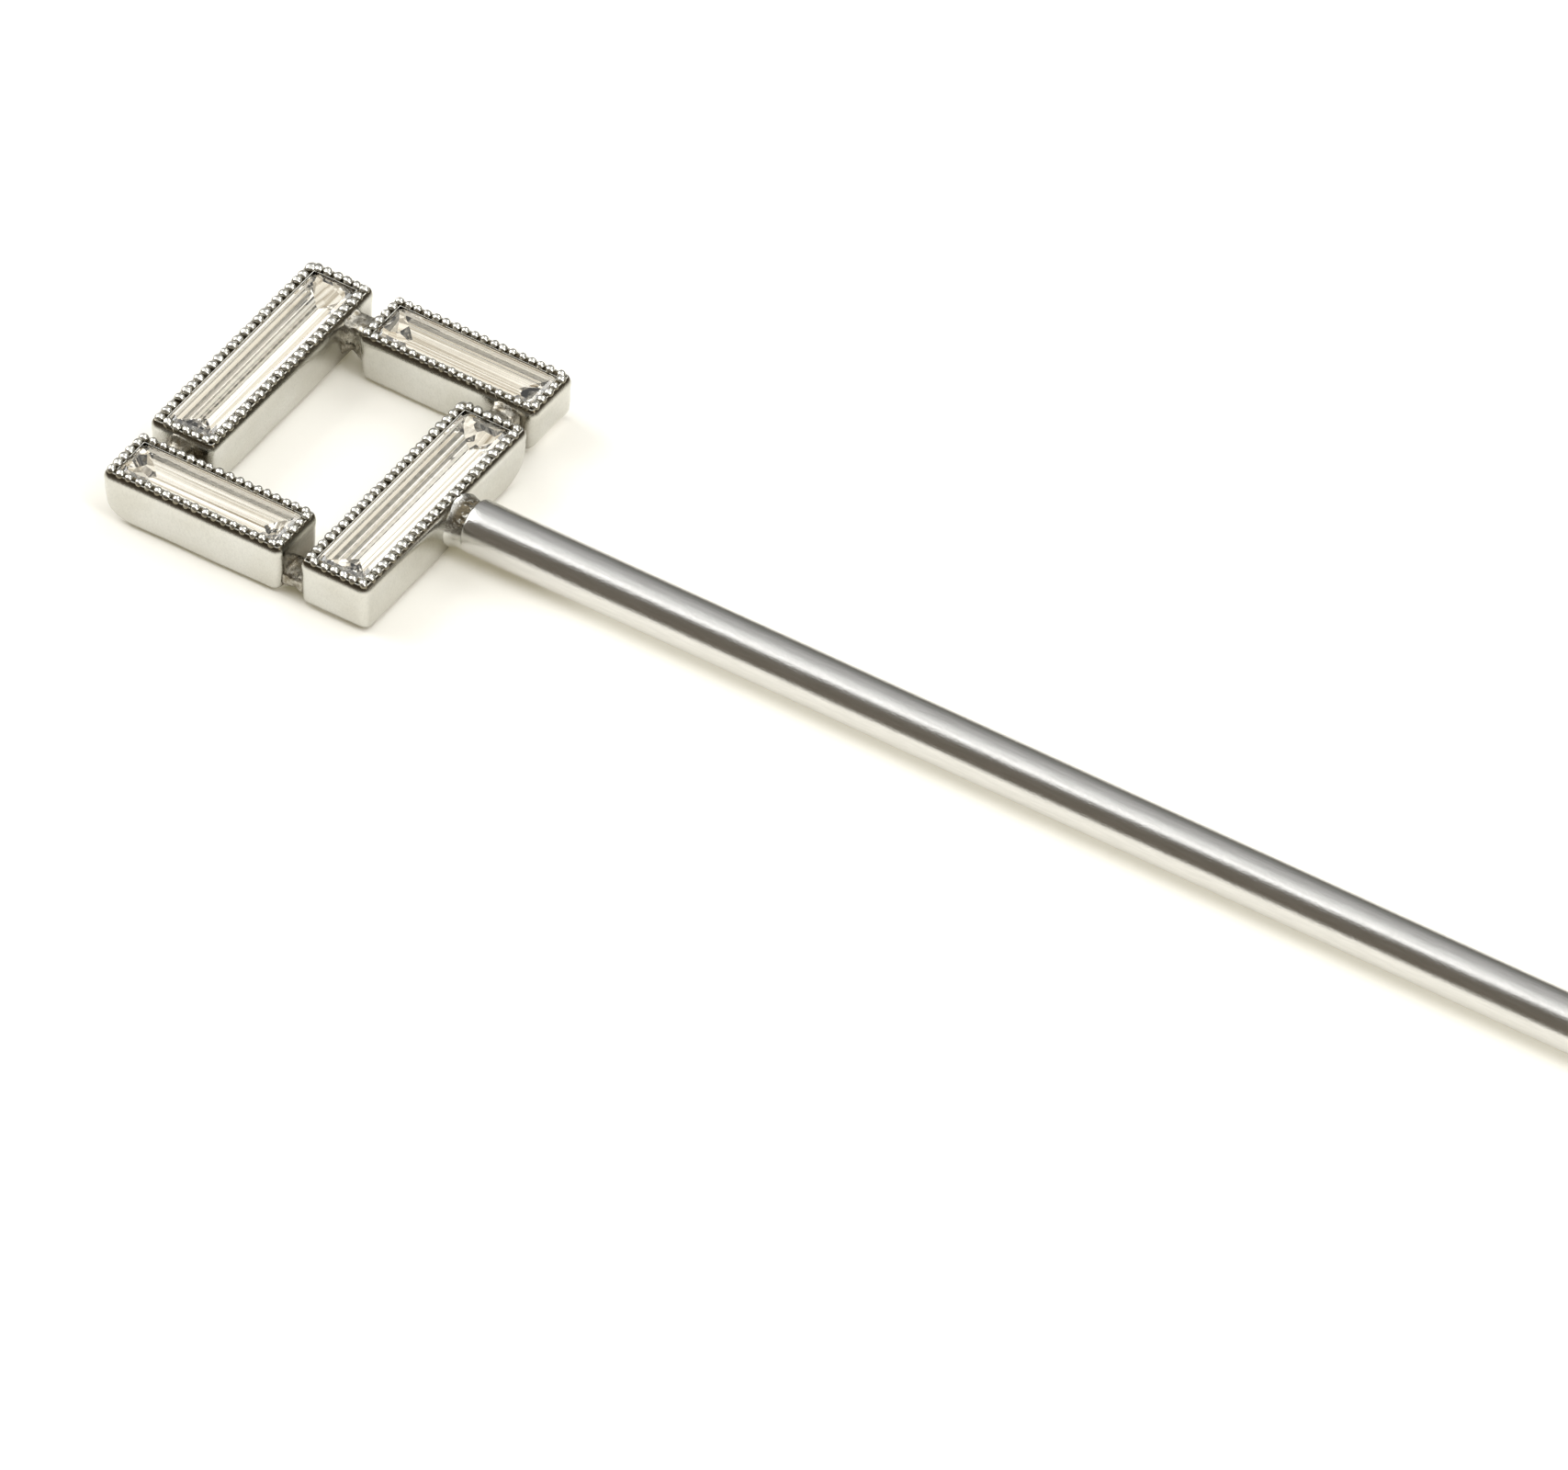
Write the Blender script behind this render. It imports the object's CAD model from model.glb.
import math
import random

import bmesh
import bpy
from mathutils import Matrix, Vector, noise


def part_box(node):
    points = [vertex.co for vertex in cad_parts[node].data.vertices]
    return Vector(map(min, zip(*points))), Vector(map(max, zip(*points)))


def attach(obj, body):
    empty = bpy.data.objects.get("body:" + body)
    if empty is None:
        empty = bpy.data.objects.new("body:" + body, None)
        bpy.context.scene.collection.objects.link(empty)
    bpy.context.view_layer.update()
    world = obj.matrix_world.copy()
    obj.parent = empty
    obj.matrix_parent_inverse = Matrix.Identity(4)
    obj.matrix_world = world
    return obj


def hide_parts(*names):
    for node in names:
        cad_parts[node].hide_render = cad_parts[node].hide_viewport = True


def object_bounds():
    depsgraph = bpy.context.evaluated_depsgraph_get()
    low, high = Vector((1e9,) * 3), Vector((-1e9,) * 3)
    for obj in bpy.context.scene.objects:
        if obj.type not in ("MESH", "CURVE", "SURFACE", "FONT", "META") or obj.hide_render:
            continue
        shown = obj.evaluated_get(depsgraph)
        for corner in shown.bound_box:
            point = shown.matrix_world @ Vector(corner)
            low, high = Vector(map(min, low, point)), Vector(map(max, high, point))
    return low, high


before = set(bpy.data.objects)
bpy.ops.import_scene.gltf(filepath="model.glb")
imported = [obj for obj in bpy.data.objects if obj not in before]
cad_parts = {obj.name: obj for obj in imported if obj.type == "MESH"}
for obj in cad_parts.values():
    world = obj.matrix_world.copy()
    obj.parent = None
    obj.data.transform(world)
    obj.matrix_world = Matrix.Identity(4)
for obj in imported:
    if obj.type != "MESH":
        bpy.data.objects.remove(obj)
cad_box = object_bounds()

# The hair pin's looks. Sizes are in millimetres until a mesh is made; the row frame has its
# origin on the shaft's axis at its root, +X to the tip and +Z out of the stones.
MM = 0.001
BODY = "root"

SHAFT_RADIUS = 1.0
NECK_LENGTH = 0.6

# A collet's section: distances outward from the rim's outline, and down from the rim's top.
WALL_BULGE = 0.1
RIM_BAND = {"row": 0.35, "column": 0.41}
STONE_COVER = 0.15
RIM_CORNER = 0.17
# The wall's upright corners grow rounder than the rim's by this much on the way down.
CORNER_EASE = 0.16
BAND_LEVEL = -0.19
LEDGE_WIDTH = 0.05
LIP_LEVEL = -0.15
LIP_BASE = -0.215
SEAT_LEVEL = -0.31
WALL_SHOULDER = -0.4
# The foot's rounding, and how far out it reaches.
FOOT_ROUND = 0.13
FOOT_OFFSET = 0.05
# The shoulder rolls outward from under the beads, and the wall bulges on its way down.
SHOULDER = (
    (-0.12, BAND_LEVEL),
    (-0.08, -0.15),
    (-0.04, -0.175),
    (-0.01, -0.21),
    (0.018, -0.255),
    (0.045, -0.31),
    (0.068, -0.37),
    (0.084, -0.43),
    (0.093, -0.5),
)
BULGE = ((0.098, -0.62), (0.1, -0.8), (0.099, -1.0), (0.096, -1.2), (0.086, -1.45), (0.068, -1.75))
# Points round a collet: along a long side, along an end, and round a corner.
SIDE_POINTS = {"row": 60, "column": 80}
END_POINTS = 20
CORNER_POINTS = 8
SMALLEST_CORNER = 0.012
# The hand-made waviness of the walls.
WALL_WAVE = 0.022

# How far each collet's ends sweep up from the underside, low end first.
END_SWEEP = {
    "near": (1.2, 0.3),
    "left": (0.3, 0.7),
    "far": (0.3, 0.75),
    "right": (0.3, 1.5),
}
KIND = {"near": "row", "left": "column", "far": "row", "right": "column"}

BEAD_PITCH = 0.395
# Where the beads start and stop, inward from the rim's outline.
BEAD_OUTER = 0.0
BEAD_INNER = 0.02
# The beads' path: its corner radius, then its points along a side, an end and a corner.
BEAD_PATH = (0.03, 40, 12, 2)
# Bead shapes on edges along X and along Y: half-length in pitches, stretch across, slant.
BEAD_SHAPES = {"along_x": (0.43, 1.15, 0.75), "along_y": (0.5, 1.06, 0.15)}


# ---------------------------------------------------------------- frames of reference
def collet_frame(side):
    """Half the rim's length and width, the collet's depth, and its matrix (local x is long)."""
    low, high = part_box("collet_" + side)
    size = (high - low) / MM
    along, across = (0, 1) if KIND[side] == "row" else (1, 0)
    centre = (low + high) / 2
    turn = Matrix.Identity(4) if KIND[side] == "row" else Matrix.Rotation(math.pi / 2, 4, "Z")
    place = Matrix.Translation(Vector((centre.x, centre.y, high.z)))
    return {
        "half_length": size[along] / 2 - WALL_BULGE,
        "half_width": size[across] / 2 - WALL_BULGE,
        "depth": size.z,
        "matrix": place @ turn @ Matrix.Scale(MM, 4),
    }


def add_piece(name, mesh, slot, *materials):
    """Link a mesh as a piece of the pin, riding on its one body."""
    piece = bpy.data.objects.new(name, mesh)
    bpy.context.scene.collection.objects.link(piece)
    for material in materials:
        mesh.materials.append(material)
    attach(piece, BODY)
    return piece


def finish_mesh(name, work, matrix, smooth=True):
    """Turn a bmesh drawn in millimetres into a mesh in the row frame."""
    work.transform(matrix)
    bmesh.ops.recalc_face_normals(work, faces=work.faces)
    if work.calc_volume(signed=True) < 0:
        bmesh.ops.reverse_faces(work, faces=work.faces)
    for face in work.faces:
        face.smooth = smooth
    mesh = bpy.data.meshes.new(name)
    work.to_mesh(mesh)
    work.free()
    return mesh


# ---------------------------------------------------------------- collets
def rounded_outline(half_x, half_y, radius, side_steps, end_steps, corner_steps):
    """Points and outward normals round a rounded rectangle, with a fixed number of points."""
    radius = max(radius, SMALLEST_CORNER)
    inner_x, inner_y = half_x - radius, half_y - radius
    corners = ((1, 1, 0), (-1, 1, 90), (-1, -1, 180), (1, -1, 270))
    outline = []
    for index, (sign_x, sign_y, start) in enumerate(corners):
        centre = Vector((sign_x * inner_x, sign_y * inner_y))
        for step in range(corner_steps + 1):
            angle = math.radians(start + 90 * step / corner_steps)
            normal = Vector((math.cos(angle), math.sin(angle)))
            outline.append((centre + radius * normal, normal))
        last_point, normal = outline[-1]
        next_x, next_y, _ = corners[(index + 1) % 4]
        goal = Vector((next_x * inner_x, next_y * inner_y)) + radius * normal
        steps = side_steps if index % 2 == 0 else end_steps
        for step in range(1, steps):
            outline.append((last_point.lerp(goal, step / steps), normal))
    return outline


def sweep_level(x, level, half, depth, ends):
    """Lift a level below the shoulder where the underside sweeps up towards an end."""
    sweep = ends[0] if x < 0 else ends[1]
    reach = abs(x) - (half - sweep)
    if reach <= 0 or level > WALL_SHOULDER:
        return level
    reach = min(reach, sweep)
    floor = -depth + sweep - math.sqrt(sweep * sweep - reach * reach)
    share = (level - WALL_SHOULDER) / (-depth - WALL_SHOULDER)
    return WALL_SHOULDER + share * (floor - WALL_SHOULDER)


def arc_points(centre, radius, start, stop, steps):
    """(offset, level) points on an arc, angles in degrees."""
    points = []
    for step in range(steps + 1):
        angle = math.radians(start + (stop - start) * step / steps)
        point = (centre[0] + radius * math.cos(angle), centre[1] + radius * math.sin(angle))
        points.append(point)
    return points


def collet_section(kind, depth):
    """The closed section, from under the beads down the wall and back up the inside."""
    band = RIM_BAND[kind]
    room = -band + STONE_COVER
    ledge = -band + LEDGE_WIDTH
    start = FOOT_OFFSET - FOOT_ROUND
    section = list(SHOULDER + BULGE)
    section += arc_points((start, -depth + FOOT_ROUND), FOOT_ROUND, 6, -90, 7)
    steps = 6
    for step in range(1, steps + 1):
        section.append((start + (room + 0.02 - start) * step / steps, -depth))
    section += [(room, -depth + 0.02), (room, -1.4), (room, -0.8), (room, SEAT_LEVEL)]
    section += [(-band, LIP_BASE), (-band, LIP_LEVEL - 0.02), (-band + 0.012, LIP_LEVEL)]
    section += [(ledge, BAND_LEVEL + 0.015), (ledge + 0.02, BAND_LEVEL)]
    return section


def make_collet_wall(side, material):
    """The bezel strip: satin wall, rounded shoulder and foot, open back, lip over the stone."""
    facts = collet_frame(side)
    kind, depth, ends = KIND[side], facts["depth"], END_SWEEP[side]
    seed = Vector((3.7 * list(KIND).index(side), 1.3, 0.0))
    half = facts["half_length"] + WALL_BULGE
    work = bmesh.new()
    rings = []
    for offset, level in collet_section(kind, depth):
        down_wall = min(1.0, max(0.0, (-0.2 - level) / 0.6)) if offset > -0.2 else 0.0
        outline = rounded_outline(
            facts["half_length"] + offset,
            facts["half_width"] + offset,
            RIM_CORNER + offset + CORNER_EASE * down_wall,
            SIDE_POINTS[kind],
            END_POINTS,
            CORNER_POINTS,
        )
        ring = []
        for point, normal in outline:
            lifted = sweep_level(point.x, level, half, depth, ends)
            sample = Vector((point.x * 0.55, point.y * 0.55, level * 0.5)) + seed
            wave = noise.noise(sample) * (WALL_WAVE if offset > -0.2 else 0.0)
            moved = point + normal * wave
            ring.append(work.verts.new((moved.x, moved.y, lifted)))
        rings.append(ring)
    for ring, following in zip(rings, rings[1:] + rings[:1]):
        count = len(ring)
        for index in range(count):
            after = (index + 1) % count
            work.faces.new((ring[index], ring[after], following[after], following[index]))
    mesh = finish_mesh("wall_" + side, work, facts["matrix"])
    wall = add_piece("bezel_" + side, mesh, "collet_metal", material)
    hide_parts("collet_" + side)
    return wall


def path_lengths(outline):
    """The length up to each point of a closed outline, and last its whole length."""
    lengths = [0.0]
    for (here, _), (there, _) in zip(outline, outline[1:] + outline[:1]):
        lengths.append(lengths[-1] + (there - here).length)
    return lengths


def along_path(outline, lengths, distance):
    """The point and outward normal at a distance along a closed outline."""
    distance %= lengths[-1]
    index = 0
    while lengths[index + 1] < distance:
        index += 1
    span = lengths[index + 1] - lengths[index]
    share = (distance - lengths[index]) / span if span else 0.0
    here, normal = outline[index]
    there, next_normal = outline[(index + 1) % len(outline)]
    return here.lerp(there, share), normal.lerp(next_normal, share).normalized()


def make_milgrain(side, material):
    """The beads round the rim: each a small polished dome, no two quite alike."""
    facts = collet_frame(side)
    kind = KIND[side]
    band = RIM_BAND[kind]
    dice = random.Random("milgrain " + side)
    middle = -(band - BEAD_INNER + BEAD_OUTER) / 2
    half_x, half_y = facts["half_length"] + middle, facts["half_width"] + middle
    outline = rounded_outline(half_x, half_y, *BEAD_PATH)
    lengths = path_lengths(outline)
    count = round(lengths[-1] / BEAD_PITCH)
    pitch = lengths[-1] / count
    across = (band - BEAD_INNER - BEAD_OUTER) / 2
    work = bmesh.new()
    for bead in range(count):
        distance = (bead + 0.5) * pitch + dice.uniform(-0.03, 0.03)
        point, normal = along_path(outline, lengths, distance)
        facing = normal.y if kind == "row" else normal.x
        overlap, stretch, slant = BEAD_SHAPES["along_x" if abs(facing) > 0.7 else "along_y"]
        angle = math.atan2(normal.y, normal.x) + dice.uniform(-0.16, 0.16) + slant
        size = dice.uniform(0.93, 1.05)
        height = -BAND_LEVEL * dice.uniform(0.86, 1.02)
        shape = Vector((across * stretch * size, pitch * overlap * size, height))
        tilt = Matrix.Rotation(dice.uniform(-0.12, 0.12), 4, "X")
        tilt = tilt @ Matrix.Rotation(dice.uniform(0.0, 0.2), 4, "Y")
        matrix = Matrix.Translation((point.x, point.y, BAND_LEVEL + 0.005))
        matrix = matrix @ Matrix.Rotation(angle, 4, "Z") @ tilt @ Matrix.Diagonal(shape.to_4d())
        made = bmesh.ops.create_icosphere(work, subdivisions=3, radius=1.0, matrix=matrix)
        seed = Vector((bead * 2.3, 7.1, 0.0))
        for vertex in made["verts"]:
            rough = noise.noise(vertex.co * 3.5 + seed)
            vertex.co += (vertex.co - Vector((point.x, point.y, BAND_LEVEL))) * rough * 0.18
    mesh = finish_mesh("milgrain_" + side, work, facts["matrix"])
    beads = add_piece("milgrain_" + side, mesh, "collet_metal", material)
    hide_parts("collet_" + side)
    return beads


# ---------------------------------------------------------------- stones
def slope_cut(work, azimuth, slope, reach, level):
    """Keep what lies below a facet; it leans outward at an azimuth, at a slope from level.

    The facet passes through a line at a reach from the stone's axis, at a level. A positive
    slope is a crown facet and a negative one a pavilion facet.
    """
    turn, lean = math.radians(azimuth), math.radians(abs(slope))
    outward = Vector((math.cos(turn), math.sin(turn), 0.0))
    normal = outward * math.sin(lean) + Vector((0, 0, math.copysign(math.cos(lean), slope)))
    everything = work.verts[:] + work.edges[:] + work.faces[:]
    made = bmesh.ops.bisect_plane(
        work,
        geom=everything,
        plane_co=outward * reach + Vector((0, 0, level)),
        plane_no=normal,
        clear_outer=True,
        dist=1e-6,
    )
    rim = [part for part in made["geom_cut"] if isinstance(part, bmesh.types.BMEdge)]
    if rim:
        bmesh.ops.edgenet_fill(work, edges=rim)


STONE_TABLE_LEVEL = -0.16
GIRDLE_TOP = SEAT_LEVEL
GIRDLE_FOOT = SEAT_LEVEL - 0.05
CROWN_SLOPE = 29.0
# Pavilion facets: slope in degrees, and the inset from the girdle where each starts.
SIDE_STEPS = ((64, 0.0), (57, 0.1), (50, 0.23), (44, 0.4), (37, 0.6))
END_STEPS = ((60, 0.0), (50, 0.1), (37, 0.24))
CORNER_STEPS = ((62, 0.0), (50, 0.14), (42, 0.36))
# Extra facets either side of each end's middle: the turn in degrees, then their steps.
FAN = (
    (13, ((56, 0.02), (45, 0.16), (36, 0.42))),
    (29, ((60, 0.0), (48, 0.13), (41, 0.32))),
)
STONE_CORNER = 0.3
# The blank that a stone is cut from is this deep, and this much clear of the collet's walls.
BLANK_DEPTH = 3.0
STONE_CLEARANCE = 0.012
# A stone's material slots: 0 is the crown and the girdle.
PAVILION_SIDES = 1
PAVILION_ENDS = 2


def make_stone(side, materials):
    """A step-cut baguette: table, bevelled crown, stepped pavilion sides and long end facets."""
    facts = collet_frame(side)
    margin = -RIM_BAND[KIND[side]] + STONE_COVER - STONE_CLEARANCE
    half_x = facts["half_length"] + margin
    half_y = facts["half_width"] + margin

    def pavilion(azimuth, reach, steps):
        level = GIRDLE_FOOT
        for index, (slope, inset) in enumerate(steps):
            if index:
                steeper, outer = steps[index - 1]
                level -= (inset - outer) * math.tan(math.radians(steeper))
            slope_cut(work, azimuth, -slope, reach - inset, level)

    work = bmesh.new()
    place = Matrix.Translation((0, 0, STONE_TABLE_LEVEL - BLANK_DEPTH / 2))
    size = Matrix.Diagonal((2 * half_x, 2 * half_y, BLANK_DEPTH, 1.0))
    bmesh.ops.create_cube(work, size=1.0, matrix=place @ size)
    for azimuth, reach, steps in (
        (0, half_x, END_STEPS),
        (90, half_y, SIDE_STEPS),
        (180, half_x, END_STEPS),
        (270, half_y, SIDE_STEPS),
    ):
        slope_cut(work, azimuth, CROWN_SLOPE, reach, GIRDLE_TOP)
        pavilion(azimuth, reach, steps)
    corner_reach = (half_x + half_y - STONE_CORNER) / math.sqrt(2)
    for azimuth in (45, 135, 225, 315):
        slope_cut(work, azimuth, CROWN_SLOPE, corner_reach, GIRDLE_TOP)
        slope_cut(work, azimuth, 90, corner_reach, GIRDLE_TOP)
        pavilion(azimuth, corner_reach, CORNER_STEPS)
    for degrees, steps in FAN:
        turn = math.radians(degrees)
        fan_reach = half_x * math.cos(turn) + (half_y - STONE_CORNER) * math.sin(turn)
        for azimuth in (degrees, 180 - degrees, 180 + degrees, 360 - degrees):
            pavilion(azimuth, fan_reach, steps)
    work.normal_update()
    for face in work.faces:
        along, across = abs(face.normal.x), abs(face.normal.y)
        if face.normal.z < -0.1 and across > 0.3 and along < 0.05:
            face.material_index = PAVILION_SIDES
        elif face.normal.z < -0.1 and along > 0.25:
            face.material_index = PAVILION_ENDS
    mesh = finish_mesh("stone_" + side, work, facts["matrix"], smooth=False)
    stone = add_piece("baguette_" + side, mesh, "champagne_stone", *materials)
    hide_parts("stone_" + side)
    return stone


# ---------------------------------------------------------------- shaft and neck
def join_rings(work, rings):
    """Skin equal rings of vertices one after another, and close both ends."""
    for ring, following in zip(rings, rings[1:]):
        for index in range(len(ring)):
            after = (index + 1) % len(ring)
            work.faces.new((ring[index], ring[after], following[after], following[index]))
    work.faces.new(rings[0])
    work.faces.new(rings[-1])


def lathe(name, stations, segments, shape_radius):
    """Rings about the X axis; shape_radius(x, radius, angle) gives each vertex's radius."""
    work = bmesh.new()
    rings = []
    for x, radius in stations:
        ring = []
        for step in range(segments):
            angle = 2 * math.pi * step / segments
            reach = shape_radius(x, radius, angle)
            ring.append(work.verts.new((x, -reach * math.sin(angle), reach * math.cos(angle))))
        rings.append(ring)
    join_rings(work, rings)
    return finish_mesh(name, work, Matrix.Scale(MM, 4))


# The root's eased edge, and a ring just inside it that keeps the root's face looking flat.
ROOT_EDGE = 0.16
ROOT_FACE = 0.78
TAPER_LENGTH = 24.0
TIP_RADIUS = 0.42


def shaft_stations(length):
    """Radius along the wire: eased root edge, parallel stretch, taper and round tip."""
    edge, taper, tip = ROOT_EDGE, TAPER_LENGTH, TIP_RADIUS
    stations = [(0.0, ROOT_FACE)]
    for step in range(6):
        angle = math.radians(90 * step / 5)
        reach = SHAFT_RADIUS - edge + edge * math.sin(angle)
        stations.append((edge - edge * math.cos(angle), reach))
    parallel = length - taper
    count = 180
    for step in range(1, count + 1):
        stations.append((edge + (parallel - edge) * step / count, SHAFT_RADIUS))
    for step in range(1, 41):
        share = step / 40
        reach = SHAFT_RADIUS + (tip - SHAFT_RADIUS) * share
        stations.append((parallel + (taper - tip) * share, reach))
    for step in range(1, 10):
        angle = math.radians(9.5 * step)
        stations.append((length - tip + tip * math.sin(angle), tip * math.cos(angle)))
    return stations


def make_shaft(material):
    """The drawn wire, with the faintest waviness along its length."""
    _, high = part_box("shaft")

    def drawn(x, radius, angle):
        sample = Vector((x * 0.35, math.cos(angle) * 2.4, math.sin(angle) * 2.4))
        return radius * (1 + 0.0022 * noise.noise(sample)) - 0.002

    mesh = lathe("shaft", shaft_stations(high.x / MM), 128, drawn)
    shaft = add_piece("pin_shaft", mesh, "shaft_metal", material)
    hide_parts("shaft")
    return shaft


# The neck's radius at its waist, how much it widens at the wall, and how much at its sides.
NECK_WAIST = 0.76
NECK_FLARE = 0.16
NECK_FILL = 0.21
# The neck's lowest line, just above the plane that the pin lies on, and how far the neck runs
# into the wall and into the wire.
NECK_FOOT = 0.985
NECK_INTO_WALL = 0.12
NECK_INTO_WIRE = 0.08
# The pitted seam on the neck's top: where its middle is, and its half-width.
SEAM_X = -0.12
SEAM_HALF = 0.32


def make_neck(material):
    """Solder drawn up between the wall and the wire: a smooth fillet, pitted on top."""
    start = -NECK_LENGTH - NECK_INTO_WALL
    length = NECK_LENGTH + NECK_INTO_WALL + NECK_INTO_WIRE
    stations = []
    for step in range(41):
        share = step / 40
        x = start + length * share
        flare = NECK_FLARE * max(0.0, 1 - share * 1.5) ** 2
        stations.append((x, NECK_WAIST + flare))

    def uneven(x, radius, angle):
        sample = Vector((x * 1.6, math.cos(angle) * 1.7, math.sin(angle) * 1.7))
        fine = Vector((x * 5.0, math.cos(angle) * 6.0, math.sin(angle) * 6.0))
        upward = max(0.0, math.cos(angle))
        seam = max(0.0, 1 - abs(x - SEAM_X) / SEAM_HALF) * upward
        filled = NECK_FILL * (1 - upward)
        reach = radius + filled + 0.02 * noise.noise(sample) + 0.12 * seam * noise.noise(fine)
        if math.cos(angle) < 0:
            reach = min(reach, NECK_FOOT / max(-math.cos(angle), 1e-3))
        return reach

    mesh = lathe("neck", stations, 96, uneven)
    neck = add_piece("solder_neck", mesh, "solder", material)
    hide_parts("shaft_neck")
    return neck


# ---------------------------------------------------------------- bridges
# How far a bridge runs into the walls, both ends together, and how square its section is:
# 1 is an ellipse, and less than 1 is squarer.
BRIDGE_BITE = 0.14
BRIDGE_SQUARENESS = 0.62


def make_bridge(node, material, waist, arch):
    """A lump of solder across a gap, drawn in at its middle and run into both walls.

    waist is the share by which its middle is thinner, and arch lifts the middle's underside.
    """
    low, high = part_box(node)
    size = (high - low) / MM
    across_x = size.x < size.y
    span = (size.x if across_x else size.y) + BRIDGE_BITE
    half_a = (size.y if across_x else size.x) / 2
    half_b = size.z / 2
    centre = (low + high) / 2
    seed = Vector((len(node) * 1.7, 4.2, 0.3))
    work = bmesh.new()
    rings = []
    stations, segments = 17, 56
    for station in range(stations):
        share = station / (stations - 1)
        middle = math.sin(math.pi * share)
        ring = []
        for step in range(segments):
            angle = 2 * math.pi * step / segments
            cosine, sine = math.cos(angle), math.sin(angle)
            thinned = 1 - waist * middle
            aside = math.copysign(abs(cosine) ** BRIDGE_SQUARENESS, cosine) * half_a * thinned
            upward = math.copysign(abs(sine) ** BRIDGE_SQUARENESS, sine) * half_b * thinned
            if sine < 0:
                upward += arch * middle
            along = (share - 0.5) * span
            order = (along, aside, upward) if across_x else (aside, along, upward)
            point = Vector(order)
            lumps = 0.12 * noise.noise(point * 2.6 + seed)
            swell = 1 + lumps + 0.05 * noise.noise(point * 9.0 + seed)
            lumpy = (1, swell, swell) if across_x else (swell, 1, swell)
            ring.append(work.verts.new(point * Vector(lumpy)))
        rings.append(ring)
    join_rings(work, rings)
    mesh = finish_mesh(node, work, Matrix.Translation(centre) @ Matrix.Scale(MM, 4))
    bridge = add_piece("solder_" + node.removeprefix("bridge_"), mesh, "solder", material)
    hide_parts(node)
    return bridge


# ---------------------------------------------------------------- material helpers
def new_material(name):
    material = bpy.data.materials.new(name)
    material.use_nodes = True
    tree = material.node_tree
    shader = next(node for node in tree.nodes if node.type == "BSDF_PRINCIPLED")
    return material, tree, shader


def add_node(tree, kind, inputs=(), **settings):
    """A node with its settings; inputs maps an input's name or index to a value or socket."""
    node = tree.nodes.new(kind)
    for key, value in settings.items():
        setattr(node, key, value)
    for key, value in dict(inputs).items():
        if isinstance(value, bpy.types.NodeSocket):
            tree.links.new(value, node.inputs[key])
        else:
            node.inputs[key].default_value = value
    return node


def own_coordinates(tree, scale):
    """Object coordinates in millimetres, stretched by a scale for each axis."""
    source = add_node(tree, "ShaderNodeTexCoord").outputs["Object"]
    stretch = tuple(1000 * value for value in scale)
    return add_node(tree, "ShaderNodeMapping", {"Vector": source, "Scale": stretch}).outputs[0]


def cloud(tree, scale, detail=4.0, rough=0.6):
    """Noise from 0 to 1, with features about 1 / scale millimetres across."""
    vector = own_coordinates(tree, scale)
    inputs = {"Vector": vector, "Scale": 1.0, "Detail": detail, "Roughness": rough}
    return add_node(tree, "ShaderNodeTexNoise", inputs).outputs["Fac"]


def remap(tree, value, low, high, to_low, to_high, smooth=True):
    """A value carried from low..high to to_low..to_high, and held at the ends."""
    inputs = {"Value": value, 1: low, 2: high, 3: to_low, 4: to_high}
    kind = "SMOOTHSTEP" if smooth else "LINEAR"
    return add_node(tree, "ShaderNodeMapRange", inputs, interpolation_type=kind).outputs[0]


def blend_colours(tree, factor, first, second):
    node = add_node(tree, "ShaderNodeMix", data_type="RGBA")
    for index, value in ((0, factor), (6, first), (7, second)):
        if isinstance(value, bpy.types.NodeSocket):
            tree.links.new(value, node.inputs[index])
        else:
            node.inputs[index].default_value = value if index == 0 else (*value, 1.0)
    return node.outputs[2]


def colour_ramp(tree, factor, stops):
    """The colour at a factor, from (position, colour) stops."""
    ramp = add_node(tree, "ShaderNodeValToRGB", {0: factor})
    elements = ramp.color_ramp.elements
    while len(elements) < len(stops):
        elements.new(0.5)
    for element, (position, colour) in zip(elements, stops):
        element.position = position
        element.color = (*colour, 1.0)
    return ramp.outputs["Color"]


# How brightly metal shows when it is seen through a stone, and in what colour.
STONE_GLOW = 0.35
STONE_GLOW_COLOUR = (1.0, 0.93, 0.82, 1.0)


def glow_behind_stones(tree, shader):
    """Let metal behind a stone look lit, to stand for light that the stone gathers."""
    through = add_node(tree, "ShaderNodeLightPath").outputs["Is Transmission Ray"]
    strength = math_node(tree, "MULTIPLY", through, STONE_GLOW)
    shader.inputs["Emission Color"].default_value = STONE_GLOW_COLOUR
    tree.links.new(strength, shader.inputs["Emission Strength"])


def math_node(tree, operation, first, second=0.0):
    inputs = {0: first, 1: second}
    return add_node(tree, "ShaderNodeMath", inputs, operation=operation).outputs[0]


def mix_shaders(tree, factor, first, second):
    """The output of a shader mix: first at 0 and second at 1."""
    inputs = {0: factor, 1: first, 2: second}
    return add_node(tree, "ShaderNodeMixShader", inputs).outputs[0]


def set_surface(tree, surface):
    output = next(node for node in tree.nodes if node.type == "OUTPUT_MATERIAL")
    tree.links.new(surface, output.inputs["Surface"])


def dot_with(tree, vector, direction):
    inputs = {0: vector, 1: tuple(direction)}
    return add_node(tree, "ShaderNodeVectorMath", inputs, operation="DOT_PRODUCT").outputs["Value"]


def level_above(tree, low, high):
    """0 below a level and 1 above another, in millimetres of the row frame."""
    source = add_node(tree, "ShaderNodeTexCoord").outputs["Object"]
    split = add_node(tree, "ShaderNodeSeparateXYZ", {0: source}).outputs["Z"]
    return remap(tree, split, low * MM, high * MM, 0.0, 1.0)


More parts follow.
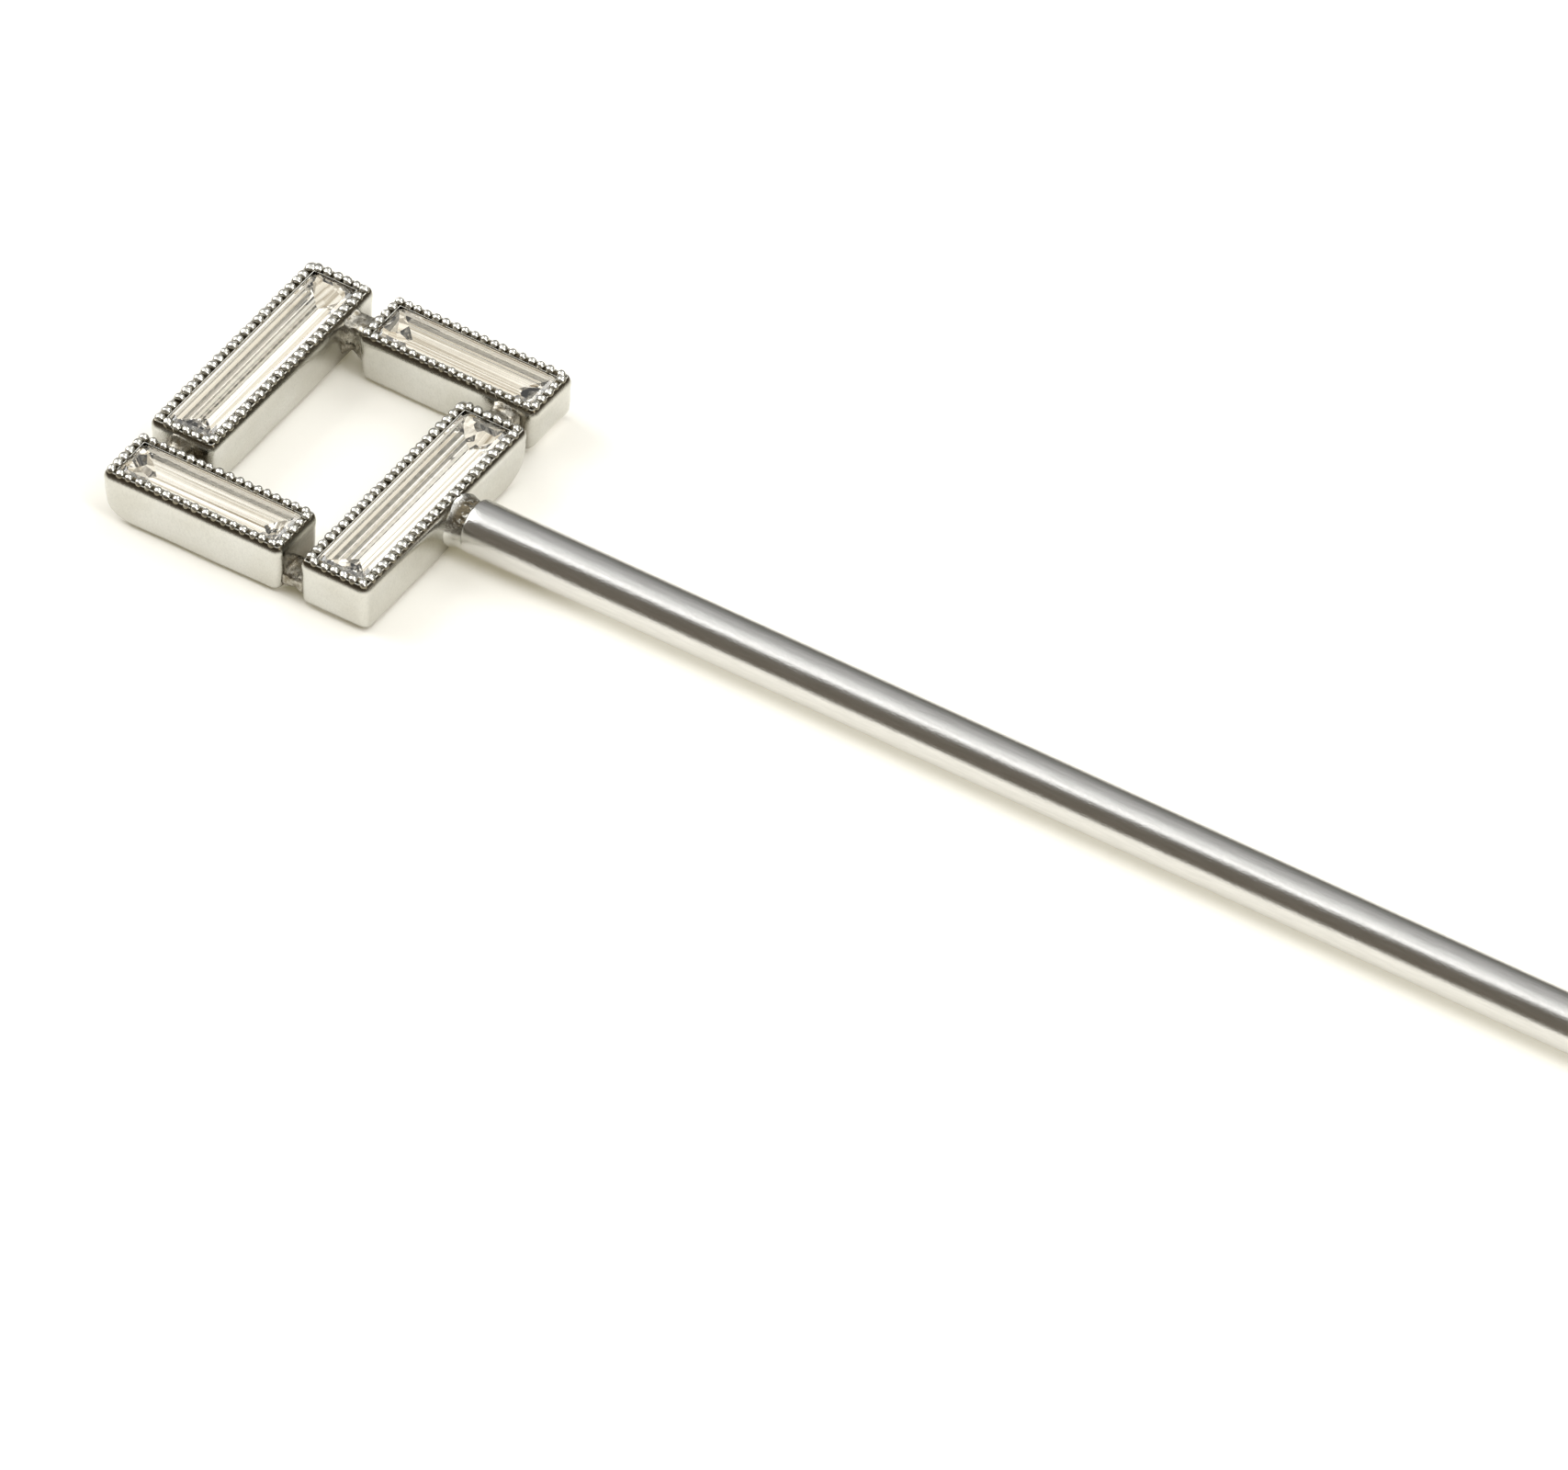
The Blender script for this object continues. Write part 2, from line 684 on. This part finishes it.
def closeness(tree, reach, open_air, closed):
    """0 in the open and 1 deep in a gap, judged by what lies within reach millimetres."""
    air = add_node(tree, "ShaderNodeAmbientOcclusion", {"Distance": reach * MM}, samples=6)
    return remap(tree, air.outputs["AO"], closed, open_air, 1.0, 0.0)


def add_bump(tree, shader, value, distance):
    """Bumps that stand up to a distance high, in millimetres."""
    inputs = {"Height": value, "Distance": distance * MM, "Strength": 1.0}
    bump = add_node(tree, "ShaderNodeBump", inputs)
    tree.links.new(bump.outputs[0], shader.inputs["Normal"])


# ---------------------------------------------------------------- materials
RIM_TOP = cad_box[1][2] / MM
WHITE_METAL = (0.645, 0.645, 0.615)
WARM_SHADE = (0.6, 0.594, 0.55)
STONE_IOR = 2.0
STONE_TINTS = ((0.992, 0.98, 0.94), (0.98, 0.957, 0.9))
END_TINTS = ((0.98, 0.94, 0.855), (0.93, 0.84, 0.69))
STONE_SHADOW = (1.0, 0.985, 0.96)
TARNISH = (0.13, 0.108, 0.072)
# Walls that face other walls take this shade, by this much at most.
HEMMED_IN = (0.4, 0.38, 0.33)
HEMMED_IN_SHARE = 0.35
BEAD_FOOT = (0.19, 0.17, 0.125)
BEAD_TOP = (0.7, 0.688, 0.64)
SOLDER_PIT = (0.2, 0.175, 0.13)
SOLDER = (0.42, 0.4, 0.35)
WIRE_LINE = (0.62, 0.612, 0.592)
WIRE = (0.67, 0.662, 0.645)


def satin_metal():
    """Collet walls: satin white metal, clouded by handling, dark in the groove by the beads."""
    material, tree, shader = new_material("satin_white_metal")
    patches = cloud(tree, (0.45, 0.45, 0.6), 3.0)
    grain = cloud(tree, (14.0, 14.0, 9.0), 5.0, 0.7)
    colour = blend_colours(tree, remap(tree, patches, 0.3, 0.7, 0.0, 1.0), WARM_SHADE, WHITE_METAL)
    colour = blend_colours(tree, remap(tree, grain, 0.35, 0.75, 0.0, 0.12), colour, TARNISH)
    on_lip = level_above(tree, RIM_TOP + LIP_LEVEL - 0.025, RIM_TOP + LIP_LEVEL - 0.005)
    below_lip = math_node(tree, "SUBTRACT", 1.0, on_lip)
    groove = level_above(tree, RIM_TOP - 0.44, RIM_TOP + BAND_LEVEL)
    groove = math_node(tree, "MULTIPLY", groove, below_lip)
    colour = blend_colours(tree, groove, colour, TARNISH)
    hemmed_in = math_node(tree, "MULTIPLY", closeness(tree, 7.0, 0.42, 0.12), HEMMED_IN_SHARE)
    colour = blend_colours(tree, hemmed_in, colour, HEMMED_IN)
    colour = blend_colours(tree, closeness(tree, 1.6, 0.42, 0.14), colour, TARNISH)
    tree.links.new(colour, shader.inputs["Base Color"])
    tree.links.new(remap(tree, grain, 0.3, 0.75, 0.11, 0.2), shader.inputs["Roughness"])
    shader.inputs["Metallic"].default_value = 1.0
    glow_behind_stones(tree, shader)
    add_bump(tree, shader, grain, 0.006)
    return material


def polished_beads():
    """Milgrain: bright domes, tarnished where they meet."""
    material, tree, shader = new_material("polished_milgrain")
    grain = cloud(tree, (9.0, 9.0, 9.0), 3.0)
    height = level_above(tree, RIM_TOP - 0.16, RIM_TOP - 0.06)
    colour = blend_colours(tree, height, BEAD_FOOT, BEAD_TOP)
    tree.links.new(colour, shader.inputs["Base Color"])
    tree.links.new(remap(tree, grain, 0.3, 0.8, 0.1, 0.24), shader.inputs["Roughness"])
    shader.inputs["Metallic"].default_value = 1.0
    add_bump(tree, shader, grain, 0.008)
    return material


def seat_metal():
    """The hidden seats: satin metal with file marks."""
    material, tree, shader = new_material("seat_metal")
    marks = cloud(tree, (3.0, 3.0, 24.0), 4.0)
    colour = blend_colours(tree, remap(tree, marks, 0.3, 0.7, 0.0, 1.0), WARM_SHADE, WHITE_METAL)
    tree.links.new(colour, shader.inputs["Base Color"])
    tree.links.new(remap(tree, marks, 0.3, 0.7, 0.25, 0.45), shader.inputs["Roughness"])
    shader.inputs["Metallic"].default_value = 1.0
    glow_behind_stones(tree, shader)
    add_bump(tree, shader, marks, 0.01)
    return material


def solder_metal():
    """Solder: greyer than the walls, lumpy, with small pits and dark seams."""
    material, tree, shader = new_material("pitted_solder")
    pits = cloud(tree, (4.0, 4.0, 4.0), 5.0, 0.65)
    speckle = cloud(tree, (11.0, 11.0, 11.0), 3.0, 0.6)
    colour = blend_colours(tree, remap(tree, pits, 0.36, 0.56, 0.0, 1.0), SOLDER_PIT, SOLDER)
    colour = blend_colours(tree, closeness(tree, 1.2, 0.7, 0.32), colour, TARNISH)
    tree.links.new(colour, shader.inputs["Base Color"])
    tree.links.new(remap(tree, speckle, 0.3, 0.75, 0.2, 0.4), shader.inputs["Roughness"])
    shader.inputs["Metallic"].default_value = 1.0
    add_bump(tree, shader, pits, 0.03)
    return material


def neck_metal():
    """The neck: satin like the walls, with a dark pitted seam where the wire begins."""
    material, tree, shader = new_material("neck_metal")
    grain = cloud(tree, (12.0, 12.0, 12.0), 4.0, 0.65)
    pits = cloud(tree, (6.0, 6.0, 6.0), 4.0, 0.7)
    source = add_node(tree, "ShaderNodeTexCoord").outputs["Object"]
    split = add_node(tree, "ShaderNodeSeparateXYZ", {0: source})
    wall = -NECK_LENGTH - NECK_INTO_WALL
    by_wire = remap(tree, split.outputs["X"], wall * MM, -0.4 * MM, 0.0, 1.0)
    on_top = remap(tree, split.outputs["Z"], 0.0, 0.55 * MM, 0.0, 1.0)
    seam = math_node(tree, "MULTIPLY", by_wire, on_top)
    pitted = math_node(tree, "MULTIPLY", seam, remap(tree, pits, 0.52, 0.66, 1.0, 0.25))
    colour = blend_colours(tree, remap(tree, grain, 0.3, 0.7, 0.0, 1.0), WARM_SHADE, WHITE_METAL)
    colour = blend_colours(tree, pitted, colour, TARNISH)
    tree.links.new(colour, shader.inputs["Base Color"])
    tree.links.new(remap(tree, grain, 0.3, 0.75, 0.16, 0.26), shader.inputs["Roughness"])
    shader.inputs["Metallic"].default_value = 1.0
    deep = math_node(tree, "MULTIPLY", seam, pits)
    fine = math_node(tree, "MULTIPLY", grain, 0.04)
    add_bump(tree, shader, math_node(tree, "ADD", fine, deep), 0.06)
    return material


def drawn_wire():
    """The shaft: bright wire with a fine grain drawn a little along it."""
    material, tree, shader = new_material("drawn_wire")
    lines = cloud(tree, (0.9, 9.0, 9.0), 4.0, 0.6)
    speckle = cloud(tree, (7.0, 15.0, 15.0), 4.0, 0.75)
    patches = cloud(tree, (0.7, 1.2, 1.2), 3.0)
    colour = blend_colours(tree, remap(tree, lines, 0.3, 0.7, 0.0, 1.0), WIRE_LINE, WIRE)
    colour = blend_colours(tree, remap(tree, speckle, 0.5, 0.78, 0.0, 0.25), colour, WARM_SHADE)
    tree.links.new(colour, shader.inputs["Base Color"])
    rough = remap(tree, speckle, 0.3, 0.75, 0.07, 0.16)
    rough = math_node(tree, "ADD", rough, remap(tree, patches, 0.35, 0.7, 0.0, 0.04))
    tree.links.new(rough, shader.inputs["Roughness"])
    shader.inputs["Metallic"].default_value = 1.0
    fine = math_node(tree, "ADD", math_node(tree, "MULTIPLY", lines, 0.4), speckle)
    add_bump(tree, shader, fine, 0.0055)
    return material


def tilt_facets(tree, shader, amount):
    """Break facets into small flat ones, each tilted at random by up to half the amount."""
    inputs = {"Vector": own_coordinates(tree, (1.7, 1.7, 1.0)), "Scale": 1.0}
    cells = add_node(tree, "ShaderNodeTexVoronoi", inputs).outputs["Color"]
    inputs = {0: cells, 1: (amount,) * 3, 2: (-amount / 2,) * 3}
    tilt = add_node(tree, "ShaderNodeVectorMath", inputs, operation="MULTIPLY_ADD").outputs[0]
    flat = add_node(tree, "ShaderNodeNewGeometry").outputs["Normal"]
    tilted = add_node(tree, "ShaderNodeVectorMath", {0: flat, 1: tilt}, operation="ADD").outputs[0]
    facet = add_node(tree, "ShaderNodeVectorMath", {0: tilted}, operation="NORMALIZE").outputs[0]
    tree.links.new(facet, shader.inputs["Normal"])


def champagne_stone(name, stripes=None, sparkle=0.0, tints=STONE_TINTS):
    """Clear stone with a pale champagne tint; light for shadows passes straight through.

    With stripes, a stretch for each axis, polishing lines run along its facets. With sparkle,
    small flat facets are tilted at random by up to half of it.
    """
    material, tree, shader = new_material(name)
    tint = cloud(tree, (0.35, 0.35, 0.35), 2.0)
    colour = blend_colours(tree, remap(tree, tint, 0.35, 0.65, 0.0, 1.0), *tints)
    shader.inputs["Metallic"].default_value = 0.0
    shader.inputs["Roughness"].default_value = 0.0
    shader.inputs["IOR"].default_value = STONE_IOR
    shader.inputs["Transmission Weight"].default_value = 1.0
    tree.links.new(colour, shader.inputs["Base Color"])
    if stripes:
        add_bump(tree, shader, cloud(tree, stripes, 1.0, 0.5), 0.009)
    if sparkle:
        tilt_facets(tree, shader, sparkle)
    path = add_node(tree, "ShaderNodeLightPath")
    clear = add_node(tree, "ShaderNodeBsdfTransparent", {"Color": (*STONE_SHADOW, 1.0)})
    shadow, diffuse = path.outputs["Is Shadow Ray"], path.outputs["Is Diffuse Ray"]
    lighting = math_node(tree, "MAXIMUM", shadow, diffuse)
    set_surface(tree, mix_shaders(tree, lighting, shader.outputs[0], clear.outputs[0]))
    return material


# ---------------------------------------------------------------- floor, light and camera
FLOOR_GAP = 0.12
FLOOR_HALF = 1.5
TABLE_COLOURS = ((0.83, 0.82, 0.8), (0.85, 0.84, 0.82))
TABLE_COLOUR_BY_SHAFT = (0.7, 0.692, 0.67)
# X where the table by the head turns into the table by the shaft, in millimetres.
HEAD_TO_SHAFT = (1.5, 6.0)
# The little light that the table gives off, so that shadows stay light.
TABLE_GLOW = (0.14, 0.125, 0.075)
TABLE_GLOW_MIRRORED = (0.22, 0.2, 0.14)
TABLE_GLOW_BY_SHAFT = (0.42, 0.4, 0.33)
# What polished metal mirrors of the table: it dims between these distances, by this much.
TABLE_EDGE = (0.24, 0.22, 0.19)
DIM_FROM, DIM_TO, DIM_SHARE = 5.0, 22.0, 0.9
# What the stones show of the table: noise levels of its lines, their colours and their share.
LINE_LEVELS = (0.34, 0.43, 0.52, 0.62)
SEEN_THROUGH = ((0.4, 0.31, 0.18), (0.86, 0.79, 0.66), (1.2, 1.16, 1.06), (1.45, 1.43, 1.35))
SEEN_THROUGH_SHARE = 0.75
LINES_ALONG_X = (0.06, 6.5, 1.0)
LINES_ALONG_Y = (5.0, 0.06, 1.0)


def edge_at(tree, value, start, width, rising):
    """A soft step over a width from a start, in millimetres, that rises or falls."""
    levels = (0.0, 1.0) if rising else (1.0, 0.0)
    return remap(tree, value, start * MM, (start + width) * MM, *levels)


def under_columns(tree, place):
    """1 where the table shows through the left and the right stone, and 0 elsewhere.

    The steps lie between the patches of table that show through neighbouring stones.
    """
    x, y = place.outputs["X"], place.outputs["Y"]
    left_low, left_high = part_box("collet_left")
    right_low, right_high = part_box("collet_right")
    left_x = edge_at(tree, x, left_high.x / MM - 0.6, 0.3, False)
    left_y = edge_at(tree, y, left_low.y / MM + 0.3, 0.2, True)
    right_x = edge_at(tree, x, right_low.x / MM - 1.12, 0.3, True)
    right_y = edge_at(tree, y, right_high.y / MM + 0.29, 0.2, False)
    left = math_node(tree, "MULTIPLY", left_x, left_y)
    right = math_node(tree, "MULTIPLY", right_x, right_y)
    return math_node(tree, "MAXIMUM", left, right)


def lines_under_stones(tree, place):
    """The table as the stones' facets draw it out: lines of light along each stone."""
    lines = add_node(tree, "ShaderNodeMix", data_type="FLOAT")
    tree.links.new(under_columns(tree, place), lines.inputs[0])
    tree.links.new(cloud(tree, LINES_ALONG_X, 2.0), lines.inputs[2])
    tree.links.new(cloud(tree, LINES_ALONG_Y, 2.0), lines.inputs[3])
    tones = colour_ramp(tree, lines.outputs[0], list(zip(LINE_LEVELS, SEEN_THROUGH)))
    return add_node(tree, "ShaderNodeEmission", {"Color": tones}).outputs[0]


def pale_table():
    """A plain pale table that gives off a little light, so that shadows stay light.

    Seen in polished metal it ends in a dim edge not far off, as a small table does.
    """
    material, tree, shader = new_material("pale_table")
    source = add_node(tree, "ShaderNodeTexCoord").outputs["Object"]
    place = add_node(tree, "ShaderNodeSeparateXYZ", {0: source})
    path = add_node(tree, "ShaderNodeLightPath")
    head_end, shaft_start = HEAD_TO_SHAFT
    by_shaft = edge_at(tree, place.outputs["X"], head_end, shaft_start - head_end, True)
    colour = blend_colours(tree, cloud(tree, (0.02, 0.02, 0.02), 2.0), *TABLE_COLOURS)
    colour = blend_colours(tree, by_shaft, colour, TABLE_COLOUR_BY_SHAFT)
    tree.links.new(colour, shader.inputs["Base Color"])
    shader.inputs["Roughness"].default_value = 0.9
    shader.inputs["Specular IOR Level"].default_value = 0.1
    direct = path.outputs["Is Camera Ray"]
    glow = blend_colours(tree, direct, TABLE_GLOW_MIRRORED, TABLE_GLOW)
    glow = blend_colours(tree, by_shaft, glow, TABLE_GLOW_BY_SHAFT)
    tree.links.new(glow, shader.inputs["Emission Color"])
    shader.inputs["Emission Strength"].default_value = 1.0
    through = math_node(tree, "MULTIPLY", path.outputs["Is Transmission Ray"], SEEN_THROUGH_SHARE)
    surface = mix_shaders(tree, through, shader.outputs[0], lines_under_stones(tree, place))
    far_off = remap(tree, path.outputs["Ray Length"], DIM_FROM * MM, DIM_TO * MM, 0.0, DIM_SHARE)
    mirrored = math_node(tree, "MULTIPLY", path.outputs["Is Glossy Ray"], far_off)
    dim = add_node(tree, "ShaderNodeEmission", {"Color": (*TABLE_EDGE, 1.0)})
    set_surface(tree, mix_shaders(tree, mirrored, surface, dim.outputs[0]))
    return material


def make_floor():
    """The table, a hair below the pin."""
    level = cad_box[0][2] - FLOOR_GAP * MM
    corners = ((-1, -1), (1, -1), (1, 1), (-1, 1))
    work = bmesh.new()
    work.faces.new([work.verts.new((x * FLOOR_HALF, y * FLOOR_HALF, level)) for x, y in corners])
    mesh = bpy.data.meshes.new("floor")
    work.to_mesh(mesh)
    work.free()
    mesh.materials.append(pale_table())
    floor = bpy.data.objects.new("floor", mesh)
    bpy.context.scene.collection.objects.link(floor)
    return floor


# Brightness of the room round the shaft's axis: degrees from straight up towards the front
# (-Y), and the colour seen there.
ROOM = (
    (-90, (0.16, 0.152, 0.13)),
    (-64, (0.34, 0.34, 0.33)),
    (-54, (0.42, 0.42, 0.41)),
    (-44, (0.58, 0.58, 0.57)),
    (-27, (0.66, 0.66, 0.65)),
    (-18, (0.78, 0.78, 0.77)),
    (-8, (1.05, 1.05, 1.04)),
    (6, (1.2, 1.2, 1.19)),
    (21, (1.55, 1.55, 1.53)),
    (28, (0.72, 0.71, 0.69)),
    (35, (0.3, 0.29, 0.27)),
    (44, (0.2, 0.18, 0.15)),
    (90, (0.2, 0.175, 0.14)),
)
# Soft windows: azimuth from +X, elevation, half-width and half-height as slopes, the width of
# the soft edge, and brightness.
WINDOWS = (
    (-5, 40, 0.12, 0.45, 0.05, 4.0),
    (72, 47, 0.24, 0.2, 0.06, 2.9),
    (186, 37, 0.3, 0.28, 0.1, 3.9),
)
# Noise level and the colour that a stone shows there.
STONE_VIEW = (
    (0.36, (0.28, 0.2, 0.1)),
    (0.43, (0.84, 0.77, 0.62)),
    (0.53, (1.2, 1.16, 1.06)),
    (0.64, (1.7, 1.67, 1.58)),
)


def light_window(tree, vector, azimuth, elevation, half_width, half_height, soft):
    """1 inside a soft-edged rectangle of sky, 0 outside; azimuth is from +X, in degrees."""
    turn, lift = math.radians(azimuth), math.radians(elevation)
    centre = Vector(
        (math.cos(lift) * math.cos(turn), math.cos(lift) * math.sin(turn), math.sin(lift))
    )
    across = Vector((-math.sin(turn), math.cos(turn), 0.0))
    upward = centre.cross(across)
    facing = dot_with(tree, vector, centre)
    result = remap(tree, facing, 0.05, 0.1, 0.0, 1.0)
    safe = math_node(tree, "MAXIMUM", facing, 0.05)
    for direction, half in ((across, half_width), (upward, half_height)):
        slope = math_node(tree, "DIVIDE", dot_with(tree, vector, direction), safe)
        edge = math_node(tree, "ABSOLUTE", slope)
        inside = remap(tree, edge, half, half + soft, 1.0, 0.0)
        result = math_node(tree, "MULTIPLY", result, inside)
    return result


def add_stone_view(tree, vector, room):
    """The room as the stones' facets pick it out: broken into bright and champagne patches."""
    inputs = {"Vector": vector, "Scale": 3.2, "Detail": 2.0, "Roughness": 0.5}
    patches = add_node(tree, "ShaderNodeTexNoise", inputs).outputs["Fac"]
    cells = add_node(tree, "ShaderNodeTexVoronoi", {"Vector": vector, "Scale": 7.0})
    tone = add_node(tree, "ShaderNodeSeparateColor", {0: cells.outputs["Color"]}).outputs[0]
    mixed = math_node(tree, "ADD", patches, remap(tree, tone, 0.0, 1.0, -0.14, 0.14, smooth=False))
    seen = colour_ramp(tree, mixed, STONE_VIEW)
    through = add_node(tree, "ShaderNodeLightPath").outputs["Is Transmission Ray"]
    return blend_colours(tree, through, room, seen)


def make_room():
    """A studio: grey room, a bright band overhead that ends towards the front, soft windows."""
    world = bpy.data.worlds.new("studio")
    bpy.context.scene.world = world
    world.use_nodes = True
    tree = world.node_tree
    tree.nodes.clear()
    vector = add_node(tree, "ShaderNodeTexCoord").outputs["Generated"]
    split = add_node(tree, "ShaderNodeSeparateXYZ", {0: vector})
    forward = math_node(tree, "MULTIPLY", split.outputs["Y"], -1.0)
    angle = math_node(tree, "ARCTAN2", forward, split.outputs["Z"])
    share = remap(tree, angle, -math.pi / 2, math.pi / 2, 0.0, 1.0, smooth=False)
    colour = colour_ramp(tree, share, [((degrees + 90) / 180, seen) for degrees, seen in ROOM])
    for azimuth, elevation, width, height, soft, power in WINDOWS:
        window = light_window(tree, vector, azimuth, elevation, width, height, soft)
        glow = blend_colours(tree, window, (0.0, 0.0, 0.0), (power, power, power * 0.985))
        added = add_node(tree, "ShaderNodeMix", {0: 1.0}, data_type="RGBA", blend_type="ADD")
        tree.links.new(colour, added.inputs[6])
        tree.links.new(glow, added.inputs[7])
        colour = added.outputs[2]
    colour = add_stone_view(tree, vector, colour)
    background = add_node(tree, "ShaderNodeBackground", {"Color": colour, "Strength": 1.0})
    output = add_node(tree, "ShaderNodeOutputWorld")
    tree.links.new(background.outputs[0], output.inputs["Surface"])


# The view: a long lens on the head and the first stretch of the shaft.
VIEW_AZIMUTH = 33.85
VIEW_ELEVATION = 42.8
VIEW_WIDTH = 53.58
VIEW_CENTRE = (15.39, -3.88)
LENS = 1400.0
SENSOR = 36.0


def make_camera():
    """A camera that looks down its axis at the view's centre, on the level of the rims."""
    azimuth, elevation = math.radians(VIEW_AZIMUTH), math.radians(VIEW_ELEVATION)
    level = Vector((math.sin(azimuth), -math.cos(azimuth), 0.0))
    back = level * math.cos(elevation) + Vector((0, 0, math.sin(elevation)))
    data = bpy.data.cameras.new("camera")
    data.lens = LENS
    data.sensor_width = SENSOR
    data.clip_start = 0.01
    data.clip_end = 20.0
    camera = bpy.data.objects.new("camera", data)
    bpy.context.scene.collection.objects.link(camera)
    rim = cad_box[1][2]
    aim = Vector((VIEW_CENTRE[0] * MM, VIEW_CENTRE[1] * MM, rim))
    camera.location = aim + back * (VIEW_WIDTH * MM * LENS / SENSOR)
    camera.rotation_euler = back.to_track_quat("Z", "Y").to_euler()
    bpy.context.scene.camera = camera


def set_up_picture():
    """Plain colours, and enough bounces for the stones' many inner reflections."""
    scene = bpy.context.scene
    scene.view_settings.view_transform = "Standard"
    scene.cycles.max_bounces = 24
    scene.cycles.glossy_bounces = 8
    scene.cycles.transmission_bounces = 20
    scene.cycles.transparent_max_bounces = 16
    scene.cycles.use_denoising = True


# ---------------------------------------------------------------- build
satin = satin_metal()
beads = polished_beads()
solder = solder_metal()
clear = champagne_stone("champagne_stone")
broken = champagne_stone("champagne_ends", sparkle=0.5, tints=END_TINTS)
cut = {
    "row": champagne_stone("champagne_pavilion_row", (0.02, 6.0, 6.0)),
    "column": champagne_stone("champagne_pavilion_column", (4.0, 0.02, 4.0)),
}
for side in KIND:
    make_collet_wall(side, satin)
    make_milgrain(side, beads)
    make_stone(side, (clear, cut[KIND[side]], broken))
make_shaft(drawn_wire())
make_neck(neck_metal())
make_bridge("bridge_near_right", solder, 0.08, 0.0)
make_bridge("bridge_far_left", solder, 0.1, 0.25)
make_bridge("bridge_left_near", solder, 0.4, 0.0)
make_bridge("bridge_right_far", solder, 0.2, 0.1)
seats = seat_metal()
for side in KIND:
    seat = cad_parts["bearing_" + side]
    seat.data.materials.clear()
    seat.data.materials.append(seats)

make_floor()
make_room()
make_camera()
set_up_picture()
